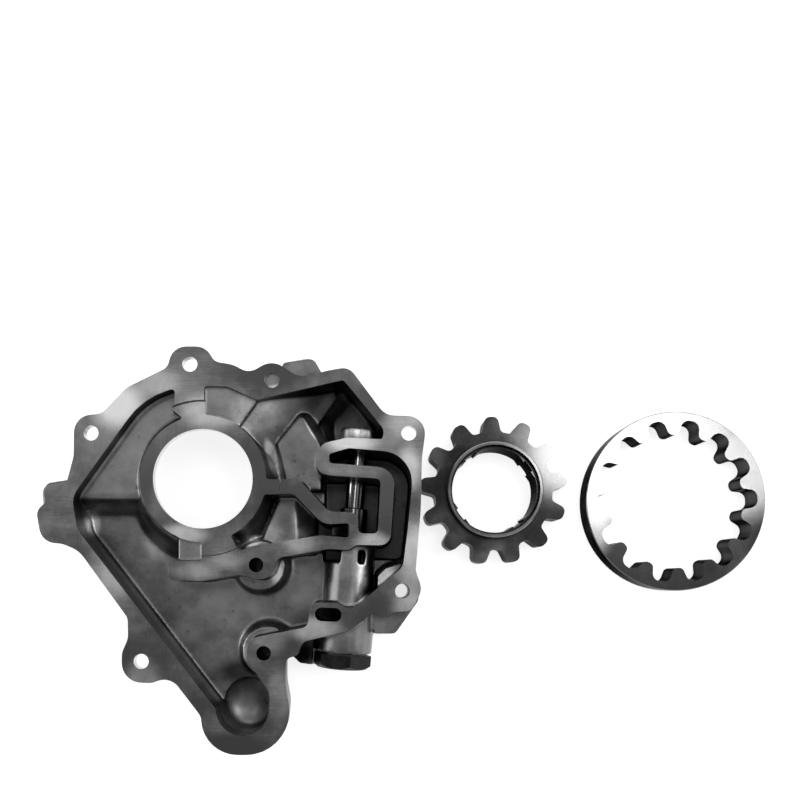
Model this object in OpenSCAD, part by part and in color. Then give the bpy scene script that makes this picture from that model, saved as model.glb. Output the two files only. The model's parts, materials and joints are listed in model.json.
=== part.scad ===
// Engine oil pump driven from the crankshaft nose, laid out as for inspection: the cast
// housing with its galleries facing up, and beside it the two toothed rotors.
// The origin is the crank axis on the face that the housing lies on. Z points up, out of
// the engine side of the casting, and all lengths are millimetres.

/* [Casting] */
// Height from the feet of the casting to the machined joint face
housing_h = 30; // [29:1:34]
// Thickness of the rim and its bolt lugs under the joint face
lug_t = 5; // [4:0.5:10]
// How far the body of the casting stands in under the rim
body_inset = 2; // [1:0.5:2.5]
// Height of the underside of the gallery floor
floor_under = 3.5; // [2.5:0.5:4]
// Depth of the main inlet gallery under the joint face
inlet_depth = 20; // [16:1:21]
// Depth of the shallow inlet port beside the rotor seat
port_depth = 6; // [4:0.5:9]
// Depth of the bypass lane and of the valve window
lane_depth = 24; // [22:0.5:24]
// Depth of the outlet gallery
outlet_depth = 17; // [14:1:20]
// Height of the raised banks in the outlet and middle galleries
bank_h = 7; // [4:1:9]
// Depth of the two cast pads beside the rotor seat
pad_depth = 1.5; // [1:0.25:2.5]
// Run of the soft step between the port and the gallery
step_run = 9.5; // [6:0.5:11]

/* [Rotor seat] */
// Diameter of the bore that carries the inner rotor's collar
seat_bore_d = 45; // [44.5:0.5:46]
// Diameter of the machined ring round that bore
seat_ring_d = 57; // [56:1:59]
// Diameter of the recess that the rotor teeth turn over
recess_d = 70.6; // [70.4:0.2:73]
// Depth of that recess
recess_depth = 1; // [0.5:0.25:1.5]
// Length of the bore that carries the collar
bore_land = 4; // [4:0.5:6]
// Diameter of the crank seal's seat, open to the front
seal_seat_d = 62; // [60:0.5:64]
// Depth of the seal seat
seal_depth = 8; // [6:0.5:9]
// Width of the hollow foot of the ring in the middle and outlet galleries
hub_w = 8; // [6:0.5:9]
// Width of the soft foot of the ring in the inlet gallery
hub_run = 12; // [9:0.5:13]

/* [Fasteners] */
// Diameter of the five bolt holes in the rim
bolt_d = 6.8; // [6.4:0.1:7.4]
// Diameter of the two threaded holes in the gallery bosses
tapped_d = 6.6; // [5:0.1:7.2]
// Depth of the threaded holes
tapped_depth = 18; // [12:1:20]
// Diameter of the blind dowel hole
dowel_d = 7; // [6:0.5:8]
// Depth of the dowel hole
dowel_depth = 2; // [1.5:0.5:12]

/* [Rotors] */
// Thickness of both rotors over their teeth
rotor_t = 12; // [10:1:14]
// Number of teeth of the inner rotor; the outer has one more
inner_teeth = 13; // [11:1:15]
// Radius over the tooth tips of the inner rotor
tip_r = 35.2; // [34.6:0.1:35.2]
// Offset between the two rotor axes when they run
offset_e = 3.6; // [3.5:0.1:3.7]
// Wall of the outer rotor behind its tooth spaces
ring_wall = 3.6; // [3:0.1:7]
// Radial play between tooth tips
tip_play = 0.1; // [0.05:0.05:0.2]
// Height of the inner rotor's collar above its teeth
collar_h = 5; // [3:0.5:5.5]
// Running clearance of the collar in its bore, on the radius
collar_play = 0.05; // [0.02:0.01:0.09]
// Radius of the inner rotor's bore
drive_r = 20; // [19:0.25:20.25]
// Distance of the drive flats from the axis
flat_dist = 18.9; // [18.2:0.1:19.4]
// Half width of the relief in the middle of each flat
flat_relief = 3; // [2:0.5:4]
// Depth of the counterbore in the collar
collar_recess = 3; // [2:0.5:6]

/* [Relief valve] */
// Height of the valve axis
valve_z = 14; // [13.5:0.5:14.5]
// Lean of the valve axis in plan, in degrees
valve_lean = 4.6; // [4.2:0.1:4.7]
// Outer radius of the cast valve tube
tube_r = 11.5; // [10.5:0.5:12.5]
// Outer radius of the boss round the plug
plug_boss_r = 13.5; // [13:0.5:15]
// Radius of the large land of the plunger
land_r = 6.5; // [5.5:0.1:7]
// Radius of the small land of the plunger
pilot_r = 4.4; // [3.8:0.1:4.8]
// Running clearance of the plunger, on the radius
valve_play = 0.04; // [0.02:0.01:0.08]
// Travel of the plunger from closed to fully open
valve_travel = 8; // [6:0.5:8]
// Wire diameter of the spring
wire_d = 1.4; // [1:0.1:1.8]
// Turns of the spring
spring_turns = 11; // [8:1:14]
// Radius of the thread of the plug
plug_thread_r = 8; // [7.6:0.1:9]
// Size of the plug's hexagon across its flats
plug_hex = 24; // [22:1:25]
// How far the hexagon is turned from a corner straight to the side
plug_turn = 12; // [0:2:30]
// Height of the plug's hexagon
plug_hex_h = 6.5; // [5:0.5:9]
// Thickness of the sealing washer
washer_t = 1; // [1:0.25:2]

/* [Layout] */
// Where the row of rotors starts, to the right of the crank axis
rotor_start = 99; // [99:0.5:110]
// Gap between the two rotors as they lie
rotor_gap = 8.7; // [4:0.1:20]
// How far the inner rotor's axis lies below the crank axis in plan
inner_y = 3.4; // [0:0.1:6]
// How far the outer rotor's axis lies below the crank axis in plan
outer_y = 8.4; // [4:0.1:12]

/* [Hidden] */

$fn = 96;
eps = 0.01;
over = 1;
row_reach = 100;
arc_step = 12;

// Heights of the faces, from the depths above
joint_z = housing_h;
seat_z = joint_z - recess_depth;
pad_z = joint_z - pad_depth;
port_z = joint_z - port_depth;
inlet_z = joint_z - inlet_depth;
lane_z = joint_z - lane_depth;
outlet_z = joint_z - outlet_depth;
bank_z = outlet_z + bank_h;
lane_bank_z = inlet_z + bank_h + 5;
lug_z = joint_z - lug_t;

// Machining stock left between the seat and the throat behind it, and the first fall of the
// outlet's floor
throat_stock = 5;
ramp_fall = 4;
seal_top_z = port_z - throat_stock;
ramp_z = joint_z - ramp_fall;
seat_ring_r = seat_ring_d / 2;
seal_boss_r = seal_seat_d / 2 + 5;
recess_r = recess_d / 2;

// Bolt holes in the rim, by name of the place
top_hole = [-5.6, 51.4];
left_hole = [-50.1, 20.4];
bottom_hole = [-27.5, -82.4];
corner_hole = [90.2, -50.8];
right_hole = [93, 20.4];
rim_holes = [top_hole, left_hole, bottom_hole, corner_hole, right_hole];
bolt_lug_r = 8;

// Threaded holes in the gallery, the dowel hole and the pickup bowl
upper_boss = [24.2, -39];
lower_boss = [27.6, -78.8];
dowel_at = [31.4, 44.3];
bowl_at = [18, -104];
bowl_r = 12;
bowl_wall = 5;

// Corners of the casting's rim, clockwise from the top lug: place and radius. The fourth
// value is 0 for a corner that only the thin bolt lugs have.
rim = [
    [-15.5, 50.0, 5, 1],
    [top_hole[0] - bolt_lug_r, top_hole[1] + bolt_lug_r, bolt_lug_r - 0.3, 0],
    [top_hole[0] + bolt_lug_r - 0.6, top_hole[1] + bolt_lug_r, bolt_lug_r - 0.6, 0],
    [5.2, 52.6, 5, 1], [14, 51.2, 12, 1], [21, 47.2, 7, 1],
    [31.5, 53.6, 9, 1], [43.5, 45.4, 9, 1], [57, 48.6, 14, 1], [66, 50.2, 6, 1],
    [82.4, 28.4, 8, 1],
    [right_hole[0] + bolt_lug_r + 0.4, right_hole[1] + bolt_lug_r - 0.5, bolt_lug_r, 0],
    [98.9, 9, 14, 1], [98.4, -14, 60, 1], [96.1, -41.5, 8, 1],
    [corner_hole[0] + bolt_lug_r + 1, corner_hole[1] + 0.6, bolt_lug_r, 0],
    [94, -59.8, 4, 0], [86, -60.2, 2.5, 0], [82.2, -63.6, 2.5, 0], [78.2, -59.2, 4, 0],
    [66.5, -68.6, 10, 1], [45.2, -73.6, 3.5, 1], [42.9, -79.9, 2.5, 1], [37.6, -81, 3, 1],
    [37.5, -93, 10, 1], [39.2, -103, 14, 1],
    [bowl_at[0] + 20.8, bowl_at[1] - 20.6, 19.5, 1],
    [bowl_at[0] - 17.8, bowl_at[1] - 20.6, 19, 1],
    [-0.6, -107.2, 5, 1], [-14.6, -88.9, 8, 1],
    [-22.5, -92.2, 6, 0],
    [bottom_hole[0] - 9, bottom_hole[1] - 9.4, 9, 0],
    [bottom_hole[0] - 8.7, bottom_hole[1] + 4, 6, 0],
    [-33.4, -72, 8, 0], [-33.6, -62.8, 4, 1],
    [-55.5, -32.6, 12, 1], [-63.5, -29.2, 12, 1], [-72.2, -29.2, 8, 1],
    [-74.8, -14.6, 5, 1], [-61.2, -2.2, 4, 1], [-57.9, 10, 10, 1],
    [left_hole[0] - bolt_lug_r + 0.4, left_hole[1] + bolt_lug_r, bolt_lug_r, 0],
    [-45.4, 28.9, 7, 1], [-33.8, 41, 9, 1]
];

// Inlet gallery, clockwise from the tip above the rotor seat. Its last corners lie inside
// the seat ring, which is left standing.
inlet = [
    [-12.3, 40.6, 1.2], [-26.9, 35.9, 34], [-58.8, -8.6, 10], [-56.4, -22.8, 10],
    [bowl_at[0] - 12.4, bowl_at[1] + 0.6, 2], bowl_at,
    [bowl_at[0] + bowl_r, bowl_at[1], 0.5], [30.6, -97, 10],
    [20.0, -81.5, 6], [20.4, -72.2, 6], [47.4, -67, 3.5], [48.9, -56, 3.5],
    [61, -56, 4], [66.6, -59.8, 4], [90.4, -39.8, 6], [92.4, -24, 20],
    [94.4, -4, 20], [94.4, 11.2, 14], [66, 13.6, 2], [57, 11, 0.8], [57.2, 6.9, 0.8],
    [87, 4.6, 8], [84.6, -30.2, 5], [69.2, -30, 2], [66, -32.3, 2], [57, -31.8, 8],
    [34, -35.8, 2], [31.2, -47, 7.5], [16.5, -43.4, 8], [0, -46.3, 12],
    [-15.2, -45.8, 2.5], [-15.6, -38, 2], [-11.4, -37, 0.6], [-11.4, -18, 0],
    [-5, -10, 0], [-5, 20, 0], [-9, 25, 0], [-9.2, 27.6, 1], [-14.6, 31.4, 0.4], [-12.5, 34, 0.5]
];

// Outlet gallery, clockwise from the corner beside the upper pad
outlet = [
    [24.6, 35.3, 1], [63.6, 44.3, 1.5], [81.8, 22, 3], [81.2, 17.6, 0.8], [65.5, 18.4, 8],
    [55, 16, 5], [50.9, 12, 5], [50.9, 2.6, 6], [58, 1.2, 8], [80.4, -0.2, 2],
    [79, -25, 2.2], [70.2, -24.7, 2], [70.0, -15.4, 3.5], [57, -14.9, 5],
    [43.4, -0.3, 2.5], [26, -0.3, 0], [14, 16, 0], [16.2, 23.5, 0.4]
];

// Gallery between the two walls that part inlet and outlet
middle = [
    [26, -7.2, 0], [41, -6.9, 3], [54.5, -20.8, 8], [66.2, -20.2, 1], [66, -26.8, 1],
    [53, -25.6, 14], [22, -30.8, 4], [16.2, -32.8, 1], [12.4, -25.4, 0], [14, -10, 0]
];

// Cast pads beside the seat, a little under the joint face
upper_pad = [[0.8, 20, 0], [0.8, 41.6, 0.8], [11.5, 41.2, 4], [24.8, 35.2, 0.5], [16, 23.2, 0]];
lower_pad = [[-11.6, -37.1, 0.8], [-0.2, -37.3, 0.8], [-0.2, -20, 0], [-11.6, -20, 0]];

// Raised banks in the galleries, each as its crown and its wider foot, and the hollow of the
// outlet as its brim and its smaller bottom
bank_crown = [[37.5, -4, 0], [36.8, 1.4, 2], [32.4, 17.4, 2], [43.6, 31.2, 1.5], [52.2, 17, 2],
              [52.5, -4, 0]];
bank_foot = [[35, -4, 0], [34.2, 1, 2], [29.4, 18, 2], [42.4, 34.8, 2], [47.6, 34, 2], [56.4, 18.4, 3],
             [56, -4, 0]];
hollow_brim = [[48.8, 10, 2], [48.8, 36, 6], [58, 49, 2], [86, 22, 2], [84, 10, 0]];
hollow_bottom = [[58.4, 12, 2], [58.4, 30, 6], [67, 40, 2], [80, 22, 2], [79, 12, 0]];
middle_crown = [[34.4, -4, 0], [40.6, -4, 0], [41.4, -34, 0], [23, -34, 0], [25.6, -24.7, 2],
                [34.4, -9.7, 2]];
middle_foot = [[33, -4, 0], [57, -4, 0], [57, -34, 0], [22, -34, 0], [24.4, -24.7, 2],
               [33, -9.7, 2]];
middle_deep = [[50, -4, 0], [70, -4, 0], [70, -34, 0], [50, -34, 0]];
lane_crown = [[78.6, -52, 1], [79.2, -43.6, 2], [82.8, -40.2, 2], [92, -37.2, 1], [96, -38, 1],
              [96, -56, 1], [80, -60, 1]];
lane_foot = [[76.8, -52, 1], [77.2, -42.6, 3], [81.6, -38.2, 3], [92, -34.6, 2], [97, -36, 1],
             [97, -56, 1], [78, -60, 1]];

// Deep parts of the two galleries beside the valve: its window and the bypass lane
window_deep = [[54, 1, 0], [84, 1, 0], [84, -26, 0], [54, -26, 0]];
lane_deep = [[56, 18, 0], [98, 18, 0], [98, -36, 0], [56, -36, 0]];

// The shallow port is all of the inlet gallery above this line; the outlet gallery runs down
// from its first edge
port_edge_y = -7;
ramp_run = 26;

// Lower lugs and bosses that show past the rim: corners, under side and top
left_lug = [[-57, 2, 2], [-74, -0.6, 3], [-76.6, -4, 3], [-76, -18, 4], [-62, -24, 2]];
top_lug = [[33, 46, 2], [35, 55.2, 2], [47.4, 57.2, 2], [50, 56, 2], [55.5, 46, 2]];
corner_lug = [[76, -52, 2], [77, -70.8, 1.5], [87.2, -70.8, 3], [99, -54, 4], [92, -44, 3]];
drain_web = [[36, -70, 2], [37.6, -81, 2], [42, -85.4, 3], [47, -86, 3], [58, -87.6, 2], [62, -70, 2]];
lug_top = 20;
web_top = 11;

// The valve, measured along its axis from the blind end of its guide
valve_start = [70.3, 16];
guide_wall = 8.9;
guide_boss_r = 6.3;
guide_lobe = 3;
arm_end = 17;
sleeve_start = arm_end + 8;
sleeve_wall = 2.5;
land_bore_start = arm_end + 6;
land_start = 28.5;
land_len = 15.5;
tube_start = 45;
cup_depth = 8;
spring_end = 86;
boss_start = 74;
boss_end = 95.7;
vent_lap = 4;
vent_start = land_start + land_len + valve_travel - vent_lap;
vent_len = 6;
left_vent = [-12.9, -4.2];
right_vent = [3.9, 7];
plug_shank = boss_end - spring_end + washer_t;
end_gap = 0.2;
pilot_bore_r = pilot_r + valve_play;
land_bore_r = land_r + valve_play;
spring_mean_r = 4.2;
coil_gap = 0.1;
cup_play = 0.25;
cup_r = spring_mean_r + wire_d / 2 + cup_play;
thread_play = 0.1;
head_room = 44;
washer_inset = 0.5;

// Rotor teeth: the roots follow from the tips and the offset of the axes
outer_teeth = inner_teeth + 1;
root_r = tip_r - 2 * offset_e;
space_r = tip_r + offset_e + tip_play;
outer_tip_r = root_r + offset_e + tip_play;
outer_r = space_r + ring_wall;
inner_x = rotor_start + tip_r;
outer_x = inner_x + tip_r + rotor_gap + outer_r;
collar_r = seat_bore_d / 2 - collar_play;
tooth_tip_w = 3;
tooth_root_w = 4.4;
space_w = 3.9;
space_mouth_w = 5;
tip_flat = 0.1;
ring_lap = 1;
bore_wall = 2;
recess_step = 1;
drive_turn = 35.5;
inner_phase = 9;
outer_phase = 2;
edge_break = 0.4;

cast_grey = [0.42, 0.42, 0.42];
steel_grey = [0.62, 0.62, 0.63];
dark_steel = [0.2, 0.2, 0.21];

function unit(v) = v / norm(v);
function flat2(p) = [p[0], p[1]];
function turn(v, a) = [v[0] * cos(a) - v[1] * sin(a), v[0] * sin(a) + v[1] * cos(a)];
function radius_of(p) = len(p) > 2 ? p[2] : 0;

// Inner angle at b, and how far a rounding of radius r reaches along each side from b
function inner_angle(a, b, c) = acos(max(-1, min(1, unit(a - b) * unit(c - b))));
function reach_at(a, b, c, r) = let (t = inner_angle(a, b, c)) t > 179 ? 0 : r / tan(t / 2);

// Points of the rounded corner c between b and d. Where two roundings need more than the
// side between them has, they share it in proportion.
function corner(pa, pb, pc, pd, pe) =
    let (a = flat2(pa), b = flat2(pb), c = flat2(pc), d = flat2(pd), e = flat2(pe),
         own = reach_at(b, c, d, radius_of(pc)),
         before = reach_at(a, b, c, radius_of(pb)),
         after = reach_at(c, d, e, radius_of(pd)))
    own <= 0 ? [c] :
    let (fit = min(1, 0.98 * norm(b - c) / (own + before), 0.98 * norm(c - d) / (own + after)),
         u = unit(b - c), w = unit(d - c), half = inner_angle(b, c, d) / 2,
         rr = own * fit * tan(half),
         hub = c + unit(u + w) * rr / sin(half),
         side = cross(c - b, d - c) > 0 ? 1 : -1,
         sweep = side * (180 - 2 * half),
         steps = max(1, ceil(abs(sweep) / arc_step)),
         first = c + u * own * fit - hub)
    [for (i = [0:steps]) hub + turn(first, sweep * i / steps)];

function rounded(pts) =
    let (n = len(pts))
    [for (i = [0:n - 1])
        each corner(pts[(i + n - 2) % n], pts[(i + n - 1) % n], pts[i],
                    pts[(i + 1) % n], pts[(i + 2) % n])];

// The same corners moved in by d, for a list that runs clockwise
function inset(pts, d) =
    let (n = len(pts))
    [for (i = [0:n - 1])
        let (b = flat2(pts[(i + n - 1) % n]), c = flat2(pts[i]), e = flat2(pts[(i + 1) % n]),
             left = turn(unit(c - b), -90), right = turn(unit(e - c), -90),
             mid = unit(left + right), bend = cross(c - b, e - c))
        concat(c + mid * d / (mid * left),
               max(0.3, radius_of(pts[i]) + (bend < 0 ? -d : d)))];

function polar(r, a) = [r * cos(a), r * sin(a)];
function half_angle(w, r) = asin(w / r);

// Four corners for each tooth: half widths at the tip and the root, then their radii
function toothed(n, phase, r_out, w_out, f_out, r_in, w_in, f_in) =
    [for (k = [0:n - 1])
        let (a = phase + k * 360 / n, o = half_angle(w_out, r_out), i = half_angle(w_in, r_in))
        each [concat(polar(r_in, a - i), f_in), concat(polar(r_out, a - o), f_out),
              concat(polar(r_out, a + o), f_out), concat(polar(r_in, a + i), f_in)]];

module shape(pts) { polygon(rounded(pts)); }

module slab(pts, z0, z1) {
    translate([0, 0, z0]) linear_extrude(z1 - z0) shape(pts);
}

// A gallery's plan, less the ring that carries the rotor
module gallery_2d(pts) {
    difference() {
        shape(pts);
        circle(r = seat_ring_r);
    }
}

module gallery(pts, floor_z) {
    translate([0, 0, floor_z]) linear_extrude(joint_z - floor_z + over) gallery_2d(pts);
}

// Profile of a hollow foot: height h standing at radius r, running out over width w
module cove_profile(r, w, h) {
    polygon(concat([[r - 2, 0], [r - 2, h], [r, h]],
                   [for (a = [15:15:90]) [r + w * (1 - cos(a)), h * (1 - sin(a))]]));
}

// Points of a soft slope that falls by h over width w from radius r
function wave(r, w, h) = [for (t = [0:0.1:1]) [r + w * t, h * (1 + cos(180 * t)) / 2]];

// The ring's wall, with its hollow curve down to the floor of the middle gallery
module hub() {
    translate([0, 0, inlet_z])
        rotate_extrude() cove_profile(seat_ring_r, hub_w, seat_z - inlet_z);
}

// The ring's wide soft foot in the inlet gallery
module inlet_hub() {
    foot_rise = 1.5;
    rise = port_z - inlet_z + foot_rise;
    intersection() {
        slab(inlet, inlet_z - over, joint_z);
        translate([0, 0, inlet_z]) rotate_extrude()
            polygon(concat([[seat_ring_r - 2, 0], [seat_ring_r - 2, rise]],
                           wave(seat_ring_r, hub_run, rise)));
    }
}

// The stretch of shallow port that stays standing in the gallery, with its soft step
module port_step() {
    step_h = port_z - inlet_z;
    reach_x = [-70, -12];
    back = 62;
    intersection() {
        slab(inlet, inlet_z - over, port_z);
        translate([reach_x[0], port_edge_y, inlet_z]) rotate([90, 0, 90])
            linear_extrude(reach_x[1] - reach_x[0]) mirror([1, 0])
                polygon(concat([[-back, -over], [-back, step_h]], wave(0, step_run, step_h),
                               [[step_run, -over]]));
    }
}

// The floor of the outlet gallery comes down in a smooth wave from its edge at the upper pad
module outlet_ramp() {
    far = flat2(outlet[0]);
    near = flat2(outlet[len(outlet) - 1]);
    edge = far - near;
    drop = ramp_z - outlet_z;
    intersection() {
        slab(outlet, outlet_z - over, joint_z);
        translate([near[0], near[1], outlet_z]) rotate([0, 0, atan2(edge[1], edge[0])])
            rotate([90, 0, 0]) rotate([0, 90, 0]) translate([0, 0, -ramp_run])
                linear_extrude(norm(edge) + 2 * ramp_run) mirror([1, 0])
                    polygon(concat([[-ramp_run, -over], [-ramp_run, drop]],
                                   wave(0, ramp_run, drop), [[ramp_run, -over]]));
    }
}

// A bank or a hollow with sloping sides between two outlines at two heights
module slope(low, low_z, high, high_z) {
    hull() {
        slab(low, low_z, low_z + eps);
        slab(high, high_z - eps, high_z);
    }
}

// Threaded boss in the gallery: a low round foot with a curved edge under the wall
module boss_foot(at) {
    foot_r = 11.6;
    foot_h = 9;
    foot_run = 3.6;
    translate([at[0], at[1], inlet_z]) {
        translate([0, 0, -over]) cylinder(r = foot_r, h = foot_h + over);
        rotate_extrude() cove_profile(foot_r, foot_run, foot_h);
    }
}

module along_valve(s = 0) {
    translate([valve_start[0], valve_start[1], valve_z])
        rotate([0, 0, -valve_lean]) rotate([90, 0, 0]) translate([0, 0, s]) children();
}

// Guide boss of two lobes in the outlet gallery, wall of the land's bore, tube over the spring and the boss
// of the plug
module valve_casting() {
    for (side = [-guide_lobe, guide_lobe])
        along_valve(-guide_wall) translate([side, 0, 0])
            cylinder(r = guide_boss_r, h = guide_wall + eps);
    along_valve(sleeve_start) cylinder(r = land_r + sleeve_wall, h = boss_start - sleeve_start);
    along_valve(tube_start) cylinder(r = tube_r, h = boss_start - tube_start + eps);
    along_valve(boss_start) cylinder(r = plug_boss_r, h = boss_end - boss_start);
}

module valve_holes() {
    thread_relief = 2;
    along_valve() cylinder(r = pilot_bore_r, h = land_bore_start);
    along_valve(land_bore_start) cylinder(r = land_bore_r, h = boss_end);
    along_valve(spring_end - thread_relief)
        cylinder(r = plug_thread_r + thread_play, h = boss_end);
    // Flat seat and room for the plug's head
    along_valve(boss_end) cylinder(r = plug_boss_r + over, h = head_room);
    vent_port(left_vent);
    vent_port(right_vent);
}

// Vent port in the flank of the tube, between two places across it
module vent_port(across) {
    foot = lane_z - valve_z;
    along_valve(vent_start) translate([across[0], foot, 0])
        cube([across[1] - across[0], tube_r + over - foot, vent_len]);
}

// Front of the casting: boss round the seal seat, ribs to the bolts, the bowl's outside and
// its foot
module front_side() {
    bowl_foot_r = 9;
    cylinder(r = seal_boss_r, h = floor_under + over);
    for (hole = rim_holes) rib(hole);
    translate([bowl_at[0], bowl_at[1], 0]) {
        cylinder(r = bowl_foot_r, h = floor_under + over);
        translate([0, 0, bowl_wall + bowl_r]) sphere(r = bowl_r + bowl_wall);
    }
}

module rib(to) {
    rib_t = 5;
    rib_z = 1.2;
    short = 3;
    run = norm(to) - bolt_lug_r - short;
    rotate([0, 0, atan2(to[1], to[0])])
        translate([seal_boss_r - over, -rib_t / 2, rib_z])
            cube([run - seal_boss_r + over, rib_t, floor_under - rib_z + over]);
}

module casting_blank() {
    body = [for (p = rim) if (p[3] == 1) p];
    slab(inset(body, body_inset), floor_under, joint_z - eps);
    slab(rim, lug_z, joint_z);
    slab(left_lug, 0, lug_top);
    slab(top_lug, 0, lug_top);
    slab(corner_lug, 0, lug_top);
    slab(drain_web, floor_under, web_top);
    front_side();
}

module deep(pts) { slab(pts, lane_z, joint_z + over); }

// The bowl of the pickup and the slope from the gallery's floor into it
module bowl() {
    lip_w = 7;
    lip_depth = 3;
    translate([bowl_at[0], bowl_at[1], 0]) {
        translate([0, 0, bowl_wall + bowl_r]) {
            sphere(r = bowl_r);
            cylinder(r = bowl_r, h = housing_h);
        }
    }
    intersection() {
        gallery(inlet, 0);
        translate([bowl_at[0], bowl_at[1], inlet_z - lip_depth])
            cylinder(r1 = bowl_r - 2, r2 = bowl_r - 2 + lip_w, h = lip_depth + eps);
    }
}

module galleries() {
    difference() {
        union() {
            gallery(inlet, inlet_z);
            gallery(middle, inlet_z);
            gallery(outlet, outlet_z);
            intersection() {
                gallery(outlet, lane_z);
                union() {
                    slope(hollow_bottom, lane_z, hollow_brim, outlet_z + eps);
                    deep(window_deep);
                }
            }
            intersection() {
                gallery(inlet, lane_z);
                deep(lane_deep);
            }
            intersection() {
                gallery(middle, lane_z);
                deep(middle_deep);
            }
            bowl();
        }
        port_step();
        hub();
        inlet_hub();
        outlet_ramp();
        slope(bank_foot, outlet_z - over, bank_crown, bank_z);
        slope(middle_foot, lane_z - over, middle_crown, inlet_z + bank_h);
        slope(lane_foot, lane_z - over, lane_crown, lane_bank_z);
        boss_foot(upper_boss);
        boss_foot(lower_boss);
    }
}

module housing() {
    color(cast_grey) difference() {
        union() {
            difference() {
                casting_blank();
                galleries();
            }
            intersection() {
                valve_casting();
                slab([[0, -2 * row_reach, 0], [0, row_reach, 0], [2 * row_reach, row_reach, 0],
                      [2 * row_reach, -2 * row_reach, 0]], 0, joint_z);
            }
        }
        valve_holes();
        // The window and the end of the middle gallery stay open beside the plunger
        intersection() {
            gallery(outlet, lane_z);
            deep(window_deep);
        }
        intersection() {
            gallery(middle, lane_z);
            deep(middle_deep);
        }
        // Rotor seat
        translate([0, 0, seat_z]) cylinder(r = recess_r, h = recess_depth + over);
        translate([0, 0, -over]) cylinder(d = seat_bore_d, h = housing_h);
        seal_seat();
        translate([0, 0, pad_z]) linear_extrude(pad_depth + over) {
            gallery_2d(upper_pad);
            gallery_2d(lower_pad);
        }
        // Holes
        for (at = rim_holes)
            translate([at[0], at[1], -over]) cylinder(d = bolt_d, h = housing_h + 2 * over);
        for (at = [upper_boss, lower_boss])
            translate([at[0], at[1], joint_z - tapped_depth])
                cylinder(d = tapped_d, h = tapped_depth + over);
        translate([dowel_at[0], dowel_at[1], joint_z - dowel_depth])
            cylinder(d = dowel_d, h = dowel_depth + over);
        transfer_slot();
    }
}

// Seat of the crank seal: a wide bore from the front, coned down to the collar's bore
module seal_seat() {
    seal_r = seal_seat_d / 2;
    shoulder = 3;
    draft = 2;
    throat_r = seal_r - shoulder;
    bore_r = seat_bore_d / 2;
    rotate_extrude() polygon([
        [0, -over], [seal_r, -over], [seal_r, seal_depth], [throat_r, seal_depth + draft],
        [throat_r - draft, seal_top_z], [bore_r, seat_z - bore_land], [0, seat_z - bore_land]]);
}

// Long hole through the lower wall, beside the valve tube
module transfer_slot() {
    slot_r = 3.1;
    slot_ends = [[53.8, -61.2], [59.6, -61.5]];
    slot_depth = 18;
    for (at = slot_ends)
        translate([at[0], at[1], joint_z - slot_depth]) cylinder(r = slot_r, h = slot_depth + over);
    run = slot_ends[1] - slot_ends[0];
    translate([slot_ends[0][0], slot_ends[0][1], joint_z - slot_depth])
        rotate([0, 0, atan2(run[1], run[0])]) translate([0, -slot_r, 0])
            cube([norm(run), 2 * slot_r, slot_depth + over]);
}

// Bore with four drive flats, each relieved in its middle
module drive_bore_2d() {
    rotate(drive_turn) {
        intersection() {
            circle(r = drive_r);
            square(2 * flat_dist, center = true);
        }
        for (a = [0:90:270]) rotate(a) intersection() {
            translate([0, -flat_relief]) square([drive_r + over, 2 * flat_relief]);
            circle(r = drive_r);
        }
    }
}

module inner_rotor() {
    color(steel_grey) translate([inner_x, -inner_y, 0]) difference() {
        union() {
            linear_extrude(rotor_t)
                shape(toothed(inner_teeth, inner_phase, tip_r, tooth_tip_w, tooth_tip_w - tip_flat,
                              root_r, tooth_root_w, tooth_root_w / 2));
            rotate_extrude() polygon([
                [drive_r - bore_wall, 0], [root_r - ring_lap, 0], [root_r - ring_lap, rotor_t],
                [collar_r, rotor_t], [collar_r, rotor_t + collar_h - edge_break],
                [collar_r - edge_break, rotor_t + collar_h],
                [drive_r - bore_wall, rotor_t + collar_h]]);
        }
        translate([0, 0, -over]) linear_extrude(rotor_t + collar_h + 2 * over) drive_bore_2d();
        translate([0, 0, rotor_t + collar_h - collar_recess])
            cylinder(r = drive_r + recess_step, h = collar_recess + over);
    }
}

module outer_rotor() {
    color(steel_grey) translate([outer_x, -outer_y, 0]) difference() {
        rotate_extrude() polygon([
            [outer_tip_r - ring_lap, 0], [outer_r - edge_break, 0], [outer_r, edge_break],
            [outer_r, rotor_t - edge_break], [outer_r - edge_break, rotor_t],
            [outer_tip_r - ring_lap, rotor_t]]);
        translate([0, 0, -over]) linear_extrude(rotor_t + 2 * over)
            shape(toothed(outer_teeth, outer_phase, space_r, space_w, space_w - tip_flat,
                          outer_tip_r, space_mouth_w, space_mouth_w / 2));
    }
}

module relief_plunger() {
    tail = land_start + land_len;
    color(steel_grey) along_valve() rotate_extrude() polygon([
        [0, end_gap], [pilot_r - edge_break, end_gap], [pilot_r, end_gap + edge_break],
        [pilot_r, land_start], [land_r - edge_break, land_start], [land_r, land_start + edge_break],
        [land_r, tail - edge_break], [land_r - edge_break, tail], [cup_r, tail],
        [cup_r, tail - cup_depth], [0, tail - cup_depth]]);
}

// Points of one turned ring of the wire, at t turns from the plunger end
function wire_ring(t, pitch, sides) =
    let (a = 360 * t, out = [cos(a), sin(a), 0], climb = atan2(pitch, 2 * PI * spring_mean_r),
         up = [sin(a) * sin(climb), -cos(a) * sin(climb), cos(climb)])
    [for (k = [0:sides - 1])
        let (b = 360 * k / sides)
        out * (spring_mean_r + wire_d / 2 * cos(b)) + up * wire_d / 2 * sin(b) + [0, 0, t * pitch]];

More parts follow.
